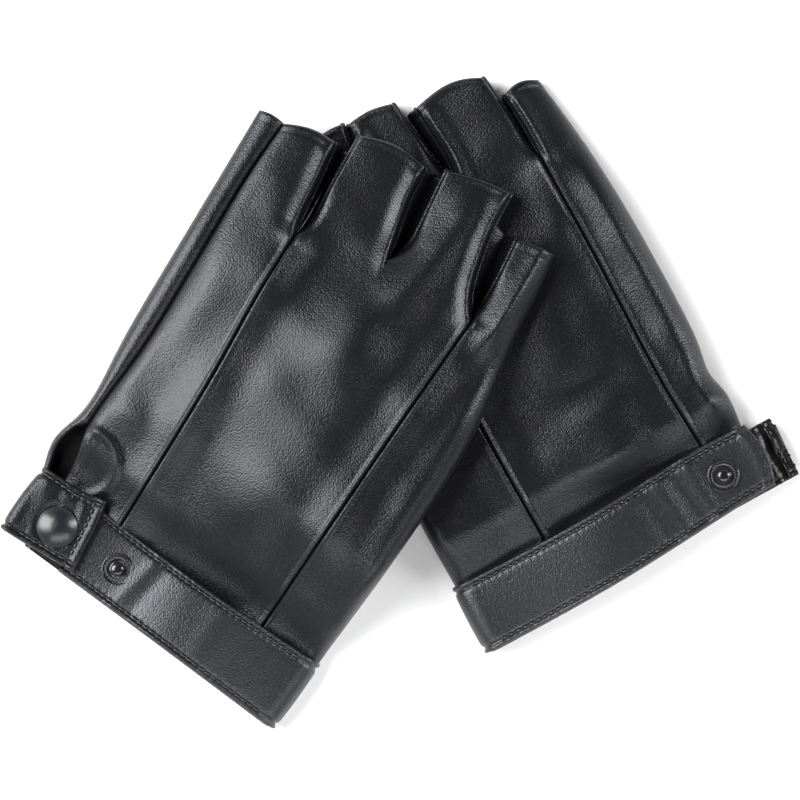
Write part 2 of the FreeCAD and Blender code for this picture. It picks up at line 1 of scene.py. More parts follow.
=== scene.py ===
"""The looks of a pair of black leather fingerless gloves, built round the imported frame.

Each glove is shaped in its own hand frame, in millimetres: u runs across the hand from the index side
(negative) to the little side, v from the cuff's lower edge to the fingertips, and z up from the table.
"""
import math

import bmesh
import bpy
import numpy as np
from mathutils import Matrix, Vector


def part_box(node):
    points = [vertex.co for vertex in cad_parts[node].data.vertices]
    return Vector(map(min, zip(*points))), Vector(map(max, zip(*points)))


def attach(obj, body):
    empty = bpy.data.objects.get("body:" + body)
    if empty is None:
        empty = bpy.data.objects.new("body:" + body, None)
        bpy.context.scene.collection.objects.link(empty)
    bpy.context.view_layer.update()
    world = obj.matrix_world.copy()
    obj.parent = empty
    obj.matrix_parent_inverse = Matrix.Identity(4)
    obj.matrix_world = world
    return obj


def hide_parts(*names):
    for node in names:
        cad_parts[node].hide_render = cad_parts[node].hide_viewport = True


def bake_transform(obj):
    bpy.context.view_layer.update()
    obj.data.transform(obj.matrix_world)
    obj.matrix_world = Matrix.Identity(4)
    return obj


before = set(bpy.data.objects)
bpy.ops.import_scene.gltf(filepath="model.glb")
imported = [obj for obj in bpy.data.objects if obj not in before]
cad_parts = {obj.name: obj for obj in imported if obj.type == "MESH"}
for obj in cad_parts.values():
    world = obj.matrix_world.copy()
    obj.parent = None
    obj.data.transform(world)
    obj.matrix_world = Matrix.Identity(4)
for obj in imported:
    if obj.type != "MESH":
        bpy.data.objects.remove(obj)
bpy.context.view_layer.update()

MM = 0.001
LEATHER = 1.0
THICK = 9.3  # a glove that lies empty, over its middle
CUFF_TOP = 9.8
PALM_CLEAR = 0.25
THUMB_THICK = 3.6
BAND_EDGE = 23.0
LIFT_EASE = 34.0
PILE_HEIGHT = 10.8
RAMP_START, RAMP_END = -96.0, -4.0
SIDE_ROLL = 5.0
FINGER_ROLL, FINGER_DROP = 3.3, 3.4
STITCH, STITCH_PITCH, STITCH_INSET = 1.7, 2.25, 1.8
THREAD_RADIUS = 0.3
BACK_ROWS = (46, 120, 44)  # points across a column, rows below the crotch and rows above it
PALM_ROWS = (30, 80, 40)
VENT_U, VENT_V, VENT_RADIUS = -41.4, 29.0, 9.0
THUMB_U, THUMB_V, THUMB_LEAN = -24, 50, -14.0  # its base, and its turn from straight up the hand in degrees
THUMB_HALF, THUMB_LENGTH = 14, 44

# The right-hand glove's outlines: a few points (u, v) on each smooth line.
RIGHT = {
    "outer_index": [(-50.2, 21.0), (-52.6, 30.0), (-51.0, 38.5), (-50.6, 46.0), (-52.5, 60.0),
                    (-55.8, 91.0), (-58.2, 118.0), (-60.5, 144.3)],
    "seam_index": [(-42.8, 21.0), (-44.2, 30.0), (-46.4, 37.5), (-47.2, 46.0), (-46.9, 60.0), (-48.5, 90.0),
                   (-50.2, 108.0), (-51.5, 125.0), (-52.2, 145.3)],
    "fold_tip": [(-60.5, 144.3), (-56.4, 145.4), (-52.2, 145.3)],
    "tips": [[(-52.2, 145.3), (-45.0, 148.7), (-36.3, 149.7)],
             [(-31.9, 155.6), (-24.0, 159.0), (-10.5, 159.6)],
             [(-5.1, 162.4), (5.0, 166.4), (14.3, 168.4)],
             [(23.6, 158.0), (29.0, 160.0), (35.4, 161.0)]],
    "gaps": [[[(-36.3, 149.7), (-33.2, 135.0), (-31.2, 125.0), (-30.0, 120.6)],
              [(-30.0, 120.6), (-28.9, 126.0), (-29.6, 136.0), (-31.9, 155.6)]],
             [[(-10.5, 159.6), (-8.7, 149.0), (-5.8, 139.0), (-3.4, 130.8)],
              [(-3.4, 130.8), (-1.4, 137.0), (-2.1, 146.0), (-5.1, 162.4)]],
             [[(14.3, 168.4), (16.0, 157.0), (19.0, 146.0), (22.6, 137.0), (27.0, 130.8)],
              [(27.0, 130.8), (26.6, 138.0), (25.6, 147.0), (23.6, 158.0)]]],
    "seam_1": [(-30.0, 120.6), (-28.5, 100.0), (-25.5, 75.0), (-23.2, 48.0), (-21.3, 21.0)],
    "seam_2": [(27.0, 130.8), (27.6, 100.0), (28.8, 60.0), (30.2, 21.0)],
    "outer_little": [(35.4, 161.0), (38.0, 149.0), (41.5, 130.0), (46.8, 108.0), (49.2, 88.0), (50.2, 60.0),
                     (50.2, 21.0)],
    "band_top": [(-49.6, 21.8), (0.0, 20.5), (50.4, 22.0)],
    "band_low": [(-50.0, -1.0), (0.0, -1.2), (50.5, -1.8)],
    "stud": (-14.4, 9.6),
    "snap": (-36.2, 9.2),
    # Each fold: one end, the other end, half-width and height; a hollow's height is negative.
    "folds": [
        ((-39, 140), (-37, 55), 8, 2.0),  # down the index panel, below its finger
        ((2, 140), (4, 80), 12, 2.2),  # broad swell over the knuckles
        ((9, 90), (10, 22), 13, 1.8),  # slack middle of the back, down to the cuff
        ((7, 170), (6, 112), 6, 2.0),  # below the ring finger
        ((35, 170), (34, 112), 4, 2.6),  # below the little finger
        ((43, 125), (44, 55), 7, 1.0),  # down the outer panel
        ((-36, 58), (-40, 24), 7, 1.4),  # beside the vent
    ],
    # Beside the index seam and the little seam: height of the broad rise and of the lip on its far side.
    "crown": (1.6, 1.3),
    "second_lip": (0.2, 0.45),
    # The ridge along a finger's slit: distance from the slit, half-width and height.
    "ridge": (1.6, 2.4, 1.5),
    # Per finger gap: how flat its far edge lies, and how far across it the palm reaches.
    "flat_edges": (0.95, 0.95, 0.9),
    "palm_reach": (0.5, 0.5, 0.55),
    # The cuff's swell: its crest's u, its foot's u and its height.
    "cuff_crest": (20.0, -22.0, 3.4),
    # Across the cuff: place, tilt, half-width and height of each wave.
    "cuff_waves": [(-8.0, 0.15, 2.2, 0.35), (-3.5, 0.1, 2.4, -0.3), (6.0, 0.0, 6.0, 0.3),
                   (19.0, -0.1, 4.0, 0.25), (30.0, 0.3, 8.0, -0.3)],
}

# The left-hand glove's, in the same frame.
LEFT = {
    "outer_index": [(-46.0, 23.5), (-46.8, 31.0), (-46.4, 36.5), (-45.1, 41.5), (-45.9, 50.0),
                    (-46.6, 62.0), (-46.3, 85.0), (-45.0, 110.0), (-43.0, 128.0), (-40.6, 143.3)],
    "tips": [[(-40.6, 143.3), (-36.0, 145.2), (-29.2, 144.0)],
             [(-26.2, 151.5), (-20.0, 154.0), (-4.2, 152.6)],
             [(1.0, 157.0), (8.0, 158.4), (15.9, 157.6)],
             [(17.2, 158.6), (23.0, 158.8), (31.0, 156.0)]],
    "gaps": [[[(-29.2, 144.0), (-30.1, 134.0), (-30.2, 122.0)],
              [(-30.2, 122.0), (-29.0, 130.0), (-27.4, 142.0), (-26.2, 151.5)]],
             [[(-4.2, 152.6), (-5.2, 142.0), (-5.6, 134.0), (-4.4, 126.0)],
              [(-4.4, 126.0), (-2.2, 134.0), (-0.5, 144.0), (1.0, 157.0)]],
             [[(15.9, 157.6), (16.8, 146.0), (18.6, 134.0), (22.0, 125.0)],
              [(22.0, 125.0), (20.6, 134.0), (18.7, 146.0), (17.2, 158.6)]]],
    "seam_1": [(-30.2, 122.0), (-30.8, 100.0), (-31.0, 70.0), (-31.2, 45.0), (-32.8, 23.0)],
    "seam_2": [(22.0, 125.0), (22.6, 100.0), (22.6, 60.0), (21.4, 22.0)],
    "outer_little": [(31.0, 156.0), (36.0, 142.0), (42.0, 120.0), (47.5, 95.0), (50.6, 70.0), (51.8, 45.0),
                     (51.2, 21.5)],
    "band_top": [(-54.6, 23.4), (-46.8, 24.2), (0.0, 22.2), (51.5, 21.4)],
    "band_low": [(-54.6, 4.6), (-47.2, 4.4), (0.0, 0.8), (52.0, -0.6)],
    "stud": (-34.5, 13.7),
    "snap": (-42.7, 11.0),
    "folds": [
        ((-48, 135), (-48, 28), 8, 3.6),  # along the index side, the tallest swell
        ((-32, 125), (-33, 35), 6, -2.2),  # hollow along the seam beside it
        ((-44, 56), (-42, 22), 4, 1.6),  # pinched in above the snap
        ((-8, 98), (-8, 50), 12, 1.5),  # slack middle of the back
        ((-12, 58), (-6, 18), 12, 2.2),  # bulge above the cuff
        ((34, 60), (40, 100), 10, 1.0),  # outer panel, half hidden
        ((21, 142), (21, 94), 9, -0.9),  # pressed down by the glove on top
    ],
    "crown": (0.5, 0.5),
    "second_lip": (0.25, 0.25),
    "ridge": (2.2, 2.6, 1.3),
    "flat_edges": (0.9, 0.9, 0.9),
    "palm_reach": (0.6, 0.75, 0.5),
    "cuff_crest": (6.0, -44.0, 3.2),
    "cuff_waves": [(-27.0, 0.1, 2.0, 0.35), (-22.0, 0.15, 2.2, -0.3), (-17.0, 0.1, 2.0, 0.3),
                   (-11.0, 0.1, 2.6, -0.3), (-44.5, 0.0, 1.6, 0.35)],
}


def ease(t):
    t = np.clip(t, 0.0, 1.0)
    return t * t * (3 - 2 * t)


def hump(d, width):
    return np.exp(-(d / width) ** 2)


def roll(e, radius):
    """1 at an edge and 0 one radius in from it, along a quarter circle."""
    return 1 - np.sqrt(np.maximum(0.0, 1 - (1 - np.clip(e / radius, 0, 1)) ** 2))


class Line:
    """A smooth line through a few points, read as one coordinate against the other."""

    def __init__(self, points, by="v"):
        pairs = sorted((p[1], p[0]) if by == "v" else p for p in points)
        self.x, self.y = np.array(pairs, float).T
        n = len(pairs)
        step = np.diff(self.x)
        matrix, right = np.eye(n), np.zeros(n)
        for i in range(1, n - 1):
            matrix[i, i - 1:i + 2] = step[i - 1], 2 * (step[i - 1] + step[i]), step[i]
            ahead = (self.y[i + 1] - self.y[i]) / step[i]
            behind = (self.y[i] - self.y[i - 1]) / step[i - 1]
            right[i] = 6 * (ahead - behind)
        self.bend = np.linalg.solve(matrix, right)

    def __call__(self, at):
        at = np.asarray(at, float)
        inside = np.clip(at, self.x[0], self.x[-1])
        i = np.clip(np.searchsorted(self.x, inside) - 1, 0, len(self.x) - 2)
        h = self.x[i + 1] - self.x[i]
        a, b = (self.x[i + 1] - inside) / h, (inside - self.x[i]) / h
        curved = (a ** 3 - a) * self.bend[i] + (b ** 3 - b) * self.bend[i + 1]
        value = a * self.y[i] + b * self.y[i + 1] + curved * h * h / 6
        slope0 = (self.y[1] - self.y[0]) / (self.x[1] - self.x[0])
        slope1 = (self.y[-1] - self.y[-2]) / (self.x[-1] - self.x[-2])
        return value + np.minimum(at - self.x[0], 0) * slope0 + np.maximum(at - self.x[-1], 0) * slope1


def off(line, u, v):
    """Distance of (u, v) from a line, positive towards the little side."""
    slope = (line(v + 0.5) - line(v - 0.5))
    return (u - line(v)) / np.sqrt(1 + slope ** 2)


class Glove:
    """One glove's outlines, its place on the table and the heights of its faces."""

    def __init__(self, name, cut, mirrored, pile):
        self.name, self.cut, self.pile = name, cut, pile
        self.flip = -1 if mirrored else 1
        a, b = (self.centre(f"{name}_snap_{n}") for n in ("stud", "cap"))
        (u0, v0), (u1, v1) = cut["stud"], cut["snap"]
        turn = (b - a) / complex(self.flip * (u1 - u0), v1 - v0)
        self.turn = turn / abs(turn)
        self.origin = a - self.turn * complex(self.flip * u0, v0)
        self.outer = Line(cut["outer_index"]), Line(cut["outer_little"])
        self.seams = Line(cut["seam_1"]), Line(cut["seam_2"])
        self.index_seam = Line(cut["seam_index"]) if "seam_index" in cut else None
        self.gaps = [(Line(a), Line(b)) for a, b in cut["gaps"]]
        self.crotch = [a[-1] for a, b in cut["gaps"]]
        self.tips = [Line(t, "u") for t in cut["tips"]]
        self.band_top, self.band_low = Line(cut["band_top"], "u"), Line(cut["band_low"], "u")
        self.middle = Line([self.crotch[1], (0.0, 20.0)])

    @staticmethod
    def centre(node):
        low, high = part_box(node)
        return complex(low.x + high.x, low.y + high.y) / 2 / MM

    def table_xy(self, u, v):
        z = self.origin + self.turn * (self.flip * np.asarray(u) + 1j * np.asarray(v))
        return z.real, z.imag

    def hand_uv(self, x, y):
        z = (x + 1j * y - self.origin) / self.turn
        return self.flip * z.real, z.imag

    def place(self, u, v, z):
        x, y = self.table_xy(u, v)
        return np.stack(np.broadcast_arrays(x, y, z), -1) * MM

    def low(self, u, v):
        """Height of the palm's outer face."""
        lift = self.pile(*self.table_xy(u, v)) * ease((v - BAND_EDGE) / LIFT_EASE)
        return PALM_CLEAR + lift + thumb_rise(v)

    def boundary(self, k):
        """Left and right side of the line between columns k - 1 and k, as u at v.

        It is an outer edge, or a seam that goes on as a finger gap.
        """
        if k == 0:
            edge = self.index_seam or self.outer[0]
            return edge, edge
        if k == 4:
            return self.outer[1], self.outer[1]
        below = (self.seams[0], self.middle, self.seams[1])[k - 1]
        v_split = self.crotch[k - 1][1]
        left, right = self.gaps[k - 1]
        return (lambda v: np.where(v < v_split, below(v), left(v)),
                lambda v: np.where(v < v_split, below(v), right(v)))

    def palm_edge(self, i, side):
        """The edge of the palm's finger at gap i, as u at v: it reaches into the gap, except at its tip."""
        f = self.cut["palm_reach"][i]
        back = self.gaps[i][side]
        v_split = self.crotch[i][1]
        v_tip = min(line[-1 if n else 0][1] for n, line in enumerate(self.cut["gaps"][i]))
        below = (self.seams[0], self.middle, self.seams[1])[i]

        def edge(v):
            left, right = self.gaps[i][0](v), self.gaps[i][1](v)
            middle = left + (right - left) * f + (0.2 if side else -0.2) * ease((v - v_split) / 4)
            near = 1 - ease((v - v_tip + 1.0) / 2.0)
            return np.where(v < v_split, below(v), back(v) + (middle - back(v)) * near)

        return edge

    def column(self, k, across, below, above, left=None, right=None):
        """A grid of (u, v) over column k, from the cuff to the fingertip, with a row through the crotches."""
        left = left or self.boundary(k)[1]
        right = right or self.boundary(k + 1)[0]
        v_left = self.crotch[max(0, k - 1)][1]
        v_right = self.crotch[min(2, k)][1]
        s = (1 - np.cos(np.pi * np.linspace(0, 1, across))) / 2 * 0.86 + np.linspace(0, 1, across) * 0.14
        level = v_left + (v_right - v_left) * s
        tip = self.tips[k]
        rows_u, rows_v = [], []
        for j in range(below + above + 1):
            v = level.copy()
            u = left(v) + (right(v) - left(v)) * s
            for _ in range(4):
                if j <= below:
                    foot = self.band_top(u) - 1.2
                    v = foot + (level - foot) * j / below
                else:
                    v = level + (tip(u) - level) * (j - below) / above
                u = left(v) + (right(v) - left(v)) * s
            rows_u.append(u)
            rows_v.append(v)
        return np.array(rows_u), np.array(rows_v)

    def thick(self, k, u, v):
        """Thickness of the lying glove: a little less over the fingers' open ends and beside the cuff."""
        v_crotch = self.crotch[min(2, max(0, k - 1))][1]
        tip = self.tips[k](u)
        return THICK - 2.0 * ease((v - v_crotch) / (tip - v_crotch)) - 0.5 * (1 - ease((v - 22) / 18))

    def back(self, k, u, v):
        """Height of the back's outer face in column k."""
        thick = self.thick(k, u, v)
        z = self.low(u, v) + thick
        if k == 3:
            z = z - 0.6 * thick * roll(-off(self.outer[1], u, v), SIDE_ROLL)
        if k == 0:
            if self.index_seam:
                side_drop = 3.4 - 1.8 * ease((v - 105.0) / 30.0) - 1.6 * ease((40.0 - v) / 4.0)
                z = z - side_drop * roll(off(self.index_seam, u, v), 4.2) + self.vent(u, v)
            else:
                z = z - 0.6 * thick * roll(off(self.outer[0], u, v), 10.0)
        for i, side in ((k - 1, 1), (k, -1)):
            if 0 <= i <= 2:
                d = side * off(self.gaps[i][0 if side < 0 else 1], u, v)
                up = v - self.crotch[i][1]
                short = self.tips[k](u) - v
                if side > 0:
                    drop = FINGER_DROP * (1 - self.cut["flat_edges"][i] * ease((up - 6.0) / 14.0))
                    z = z - ease((up + 1.5) / 7.0) * drop * roll(d, FINGER_ROLL)
                    z = z - ease((up + 1.5) / 7.0) * 1.2 * roll(d, 0.8)
                else:
                    fade = ease((up + 7.0) / 9.0)
                    at, width, height = self.cut["ridge"]
                    ridge = height * ease(short / 5.0) * hump(d - at, np.where(d > at, width, 0.9))
                    z = z + fade * (ridge - 3.0 * roll(d, 0.9))
        for i, seam in enumerate(self.seams):
            d = off(seam, u, v)
            fade = 1 - ease((v - self.crotch[2 * i][1] + 2.5) / 5)
            second, crown = self.cut["second_lip"][i], self.cut["crown"][i]
            z = z + fade * (0.7 * hump(d + 0.9, 0.55) - 0.7 * hump(d, 0.22)
                            + (second + 0.1) * hump(d - 0.9, 0.5)
                            + crown * hump(d, 7.0) - 0.25 * hump(np.abs(d) - 9.0, 5.0))
        t = self.tips[k](u) - v
        z = z + 0.12 * ease((2.3 - t) / 0.4) - 0.25 * hump(t - 2.5, 0.3) - 0.5 * roll(t, 0.5)
        z = z - 0.9 * hump(v - self.band_top(u), 3.2)
        return z + self.folds(u, v) * self.slack(u, v)

    def slack(self, u, v):
        """How far the leather is free to fold: not at the outer edges or at the cuff."""
        left = off(self.index_seam or self.outer[0], u, v)
        right = -off(self.outer[1], u, v)
        beside_vent = 1.0
        if self.index_seam:
            beside_vent = ease((np.hypot(u - VENT_U, v - VENT_V) - VENT_RADIUS) / 14.0)
        return ease(left / 7.0) * ease(right / 7.0) * ease((v - self.band_top(u)) / 12.0) * beside_vent

    def vent(self, u, v):
        """The hollow lobe of the index panel beside the wrist opening, and the layered edges round it."""
        r = np.hypot(u - VENT_U, v - VENT_V)
        right = ease((u + 46.5) / 3.0)
        d = off(self.index_seam, u, v)
        layers = ease((v - 24.0) / 2) * ease((37.5 - v) / 2)
        return (-0.7 * (1 - ease(r / VENT_RADIUS)) + 1.0 * hump(r - 10.2, 1.4) * right
                + 0.35 * layers * (hump(d - 0.9, 0.35) + hump(d - 2.1, 0.35)))

    def folds(self, u, v):
        """Soft folds and hollows of slack leather."""
        z = 0.0
        for (u0, v0), (u1, v1), width, height in self.cut["folds"]:
            long = math.hypot(u1 - u0, v1 - v0)
            du, dv = (u1 - u0) / long, (v1 - v0) / long
            along = (u - u0) * du + (v - v0) * dv
            side = (v - v0) * du - (u - u0) * dv
            fade = ease(along / (0.3 * long)) * ease((long - along) / (0.4 * long))
            z = z + height * fade * hump(side, width)
        waves = (23.0, 0.5, 0.16), (34.0, 2.1, 0.22), (15.0, 1.2, 0.07)
        for i, (wave, tilt, height) in enumerate(waves):
            phase = 1.3 * i + (0.9 if self.flip < 0 else 0.0)
            z = z + height * np.sin(2 * np.pi * (u * math.cos(tilt) + v * math.sin(tilt)) / wave + phase)
        return z

    def cuff_waves(self, u, low):
        """Soft waves across the cuff band."""
        crest, foot, height = self.cut["cuff_crest"]
        total = 0.1 * np.sin(u / 7.0 + 0.1 * low)
        total = total + height * ease((u - foot) / (crest - foot)) * ease((50 - u) / (50 - crest))
        for at, tilt, width, height in self.cut["cuff_waves"]:
            total = total + height * hump(u - at - tilt * (low - 10), width)
        return total

    def palm(self, k, u, v):
        """Height of the palm's outer face, rolled up at the two outer sides."""
        thick = self.thick(k, u, v)
        z = self.low(u, v)
        if k == 3:
            z = z + 0.4 * thick * roll(-off(self.outer[1], u, v), SIDE_ROLL)
        if k == 0:
            z = z + 0.4 * thick * roll(off(self.outer[0], u, v), SIDE_ROLL)
        return z


def thumb_rise(v):
    return THUMB_THICK * ease((v - BAND_EDGE) / 13) * ease((128 - v) / 30)


lower = Glove("lower", LEFT, True, lambda x, y: 0.0)


def pile(x, y):
    """How far the upper glove is lifted where it lies on the lower one."""
    (x0, y0), (x1, y1) = lower.table_xy(50.6, 70.0), lower.table_xy(31.0, 156.0)
    inside = ((y1 - y0) * (x - x0) - (x1 - x0) * (y - y0)) / math.hypot(x1 - x0, y1 - y0)
    over_thumb = thumb_rise(lower.hand_uv(x, y)[1])
    return (PILE_HEIGHT + over_thumb) * ease((inside - RAMP_START) / (RAMP_END - RAMP_START))


upper = Glove("upper", RIGHT, False, pile)


# Meshes

def make(name, points, faces, material):
    mesh = bpy.data.meshes.new(name)
    mesh.from_pydata([tuple(p) for p in points], [], faces)
    mesh.materials.append(material)
    mesh.polygons.foreach_set("use_smooth", [True] * len(mesh.polygons))
    piece = bpy.data.objects.new(name, mesh)
    bpy.context.scene.collection.objects.link(piece)
    return piece


def grid_faces(rows, columns, first=0, flip=False, closed=False):
    """Quads over a grid of points stored row by row."""
    faces = []
    last = columns if closed else columns - 1
    for j in range(rows - 1):
        for i in range(last):
            a = first + j * columns + i
            b = first + j * columns + (i + 1) % columns
            quad = (a, b, b + columns, a + columns)
            faces.append(quad[::-1] if flip else quad)
    return faces


def sheet(name, grids, material, glove, thickness=LEATHER, inner=None, upward=True):
    """A sheet of leather from one or more grids of points whose touching edges are joined."""
    points, faces = [], []
    flip = (glove.flip < 0) == upward
    for grid in grids:
        rows, columns = grid.shape[:2]
        faces += grid_faces(rows, columns, len(points), flip)
        points += list(grid.reshape(-1, 3))
    piece = make(name, points, faces, material)
    weld = piece.modifiers.new("weld", "WELD")
    weld.merge_threshold = 0.00001
    solid = piece.modifiers.new("thickness", "SOLIDIFY")
    solid.thickness = thickness * MM
    solid.offset = -1
    if inner:
        piece.data.materials.append(inner)
        solid.material_offset = 1
    piece.modifiers.new("normals", "WEIGHTED_NORMAL")
    return piece


def loft(name, rings, material, shapes=1):
    """Closed rings joined one to the next and capped at both ends; shapes counts the separate solids."""
    rings = np.asarray(rings)
    count, around = rings.shape[:2]
    each = count // shapes
    faces = []
    for k in range(shapes):
        first = k * each * around
        faces += grid_faces(each, around, first, closed=True)
        faces.append(tuple(range(first + around - 1, first - 1, -1)))
        faces.append(tuple(range(first + (each - 1) * around, first + each * around)))
    piece = make(name, rings.reshape(-1, 3), faces, material)
    mesh = bmesh.new()
    mesh.from_mesh(piece.data)
    bmesh.ops.recalc_face_normals(mesh, faces=mesh.faces)
    mesh.to_mesh(piece.data)
    mesh.free()
    piece.modifiers.new("normals", "WEIGHTED_NORMAL")
    return piece


def turned(name, g, at, z, profile, material, down=False, ribs=None, around=96):
    """A solid of revolution from (radius, height) points.

    ribs is (count, inner radius, outer radius, height).
    """
    angle = np.linspace(0, 2 * np.pi, around, endpoint=False)
    rings = []
    for r, h in profile:
        if ribs and ribs[1] <= r <= ribs[2]:
            h = h + ribs[3] * np.cos(ribs[0] * angle)
        u, v = at[0] + r * np.cos(angle), at[1] + r * np.sin(angle)
        rings.append(g.place(u, v, z + (-h if down else h)))
    return loft(name, rings, material)


def settle(piece, body, slot, *nodes):
    """Fix a piece to its body, in place of its nodes."""
    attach(piece, body)
    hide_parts(*nodes)


# Materials

def shader(name, color, roughness, **sockets):
    """A new material whose shader has one colour and roughness all over."""
    material = bpy.data.materials.new(name)
    material.use_nodes = True
    nodes = material.node_tree.nodes
    main = nodes["Principled BSDF"]
    main.inputs["Base Color"].default_value = (*color, 1)
    main.inputs["Roughness"].default_value = roughness
    for socket, value in sockets.items():
        main.inputs[socket.replace("_", " ")].default_value = value
    return material, nodes, material.node_tree.links, main


def leather(name, roughness, shine):
    """Black embossed leather: rounded pebbles with fine creases between them."""
    material, nodes, links, main = shader(name, (0.004, 0.0042, 0.005), roughness,
                                          Specular_IOR_Level=shine, Specular_Tint=(0.93, 0.94, 1.0, 1))
    place = nodes.new("ShaderNodeTexCoord")
    warp = nodes.new("ShaderNodeTexNoise")
    warp.inputs["Scale"].default_value = 700
    warp.inputs["Detail"].default_value = 2
    shift = nodes.new("ShaderNodeVectorMath")
    shift.operation = "MULTIPLY_ADD"
    shift.inputs[1].default_value = (0.0002, 0.0002, 0.0002)
    cells = nodes.new("ShaderNodeTexVoronoi")
    cells.feature = "SMOOTH_F1"
    cells.inputs["Scale"].default_value = 2000
    cells.inputs["Smoothness"].default_value = 0.35
    fine = nodes.new("ShaderNodeTexNoise")
    fine.inputs["Scale"].default_value = 3200
    fine.inputs["Detail"].default_value = 3
    mix = nodes.new("ShaderNodeMath")
    mix.operation = "MULTIPLY_ADD"
    mix.inputs[1].default_value = 0.35
    bump = nodes.new("ShaderNodeBump")
    bump.inputs["Strength"].default_value = 0.46
    bump.inputs["Distance"].default_value = 0.0002
    bump.invert = True
    links.new(place.outputs["Object"], warp.inputs["Vector"])
    links.new(warp.outputs["Color"], shift.inputs[0])
    links.new(place.outputs["Object"], shift.inputs[2])
    links.new(shift.outputs[0], cells.inputs["Vector"])
    links.new(place.outputs["Object"], fine.inputs["Vector"])
    links.new(fine.outputs["Fac"], mix.inputs[0])
    links.new(cells.outputs["Distance"], mix.inputs[2])
    links.new(mix.outputs[0], bump.inputs["Height"])
    links.new(bump.outputs["Normal"], main.inputs["Normal"])
    return material


def plain(name, color, roughness, scale, depth, **sockets):
    """A finish with a fine noise in its surface."""
    material, nodes, links, main = shader(name, color, roughness, **sockets)
    place = nodes.new("ShaderNodeTexCoord")
    noise = nodes.new("ShaderNodeTexNoise")
    noise.inputs["Scale"].default_value = scale
    noise.inputs["Detail"].default_value = 4
    bump = nodes.new("ShaderNodeBump")
    bump.inputs["Distance"].default_value = depth
    links.new(place.outputs["Object"], noise.inputs["Vector"])
    links.new(noise.outputs["Fac"], bump.inputs["Height"])
    links.new(bump.outputs["Normal"], main.inputs["Normal"])
    return material


LEATHER_SKIN = leather("leather", 0.3, 0.36)
LEATHER_BAND = leather("band leather", 0.36, 0.65)
LINING = plain("lining", (0.004, 0.004, 0.0045), 0.9, 2500, 0.0002, Specular_IOR_Level=0.15)
FACING = plain("facing", (0.005, 0.005, 0.0055), 0.3, 300, 0.0004, Specular_IOR_Level=0.4)
THREAD = plain("thread", (0.012, 0.012, 0.014), 0.3, 6000, 0.00006, Specular_IOR_Level=0.75)
CAP = plain("cap lacquer", (0.006, 0.007, 0.01), 0.3, 900, 0.00005, Specular_IOR_Level=0.6)
STUD = plain("stud lacquer", (0.006, 0.006, 0.008), 0.18, 900, 0.00003, Specular_IOR_Level=0.75)
LACQUER = plain("snap lacquer", (0.006, 0.006, 0.008), 0.16, 900, 0.00003,
                Coat_Weight=0.3, Coat_Roughness=0.06)


# Hand

def back_panels(g):
    for name, columns in (("index", (0,)), ("centre", (1, 2)), ("little", (3,))):
        grids = []
        for k in columns:
            u, v = g.column(k, *BACK_ROWS)
            grids.append(g.place(u, v, g.back(k, u, v)))
        piece = sheet(f"{g.name}_back_{name}_leather", grids, LEATHER_SKIN, g, inner=LINING)
        settle(piece, f"{g.name}_glove", "leather", f"{g.name}_back_{name}_panel")


def palm_panel(g):
    grids = []
    for k in range(4):
        left = g.outer[0] if k == 0 else g.palm_edge(k - 1, 1)
        right = g.palm_edge(k, 0) if k < 3 else None
        u, v = g.column(k, *PALM_ROWS, left, right)
        grids.append(g.place(u, v, g.palm(k, u, v)))
    piece = sheet(f"{g.name}_palm_leather", grids, LEATHER_SKIN, g, inner=LINING, upward=False)
    settle(piece, f"{g.name}_glove", "leather", f"{g.name}_palm_panel")


def linings(g):
    """Two sheets of lining inside the hand, below its fingers."""
    side = g.index_seam or g.outer[0]
    v, s = np.meshgrid(np.linspace(24.2, 116, 60), np.linspace(0, 1, 60), indexing="ij")
    left, right = side(v) + 2.6, g.outer[1](v) - 2.6
    u = left + (right - left) * s
    column = np.where(u < g.seams[0](v), 0, np.where(u < g.seams[1](v), 1, 3))
    high = np.select([column == k for k in (0, 1, 3)], [g.back(k, u, v) for k in (0, 1, 3)])
    for name, z in (("back", high - 1.2), ("palm", g.palm(1, u, v) + 1.15)):
        piece = sheet(f"{g.name}_{name}_lining_cloth", [g.place(u, v, z)], LINING, g, 0.3,
                      upward=name == "back")
        settle(piece, f"{g.name}_glove", "lining", f"{g.name}_{name}_lining")


def side_strip(g):
    """The roll of palm leather that shows beside the back, with its hem at the fingertip."""
    tip = Line(g.cut["fold_tip"], "u")
    x, j = np.meshgrid(np.linspace(0, 1, 34), np.linspace(0, 1, 170))
    v = 20.6 + (tip(g.outer[0](144.0) + 4.0) - 20.6) * j
    u0 = g.outer[0](v)
    hole = 1 - ease((v - 36.0) / 4.0)
    u1 = (g.index_seam(v) + 0.9) * (1 - hole) + (u0 + 2.6) * hole
    u = u0 + (u1 - u0) * (1 - np.cos(np.pi * x)) / 2
    v = v + (tip(u) - v[-1]) * ease((j - 0.8) / 0.2)
    arch = np.sqrt(np.maximum(0, 1 - (2 * (u - u0) / (u1 - u0) - 1) ** 2))
    thick = g.thick(0, u, v)
    z = g.low(u, v) + thick * (0.4 + (0.42 - 0.1 * hole) * arch)
    t = tip(u) - v
    z = z + 0.2 * ease((2.4 - t) / 0.4) - 0.3 * hump(t - 2.5, 0.4) - 0.4 * roll(t, 0.7)
    piece = sheet(f"{g.name}_palm_side_leather", [g.place(u, v, z)], LEATHER_SKIN, g, inner=LINING)
    settle(piece, f"{g.name}_glove", "leather", f"{g.name}_palm_panel")


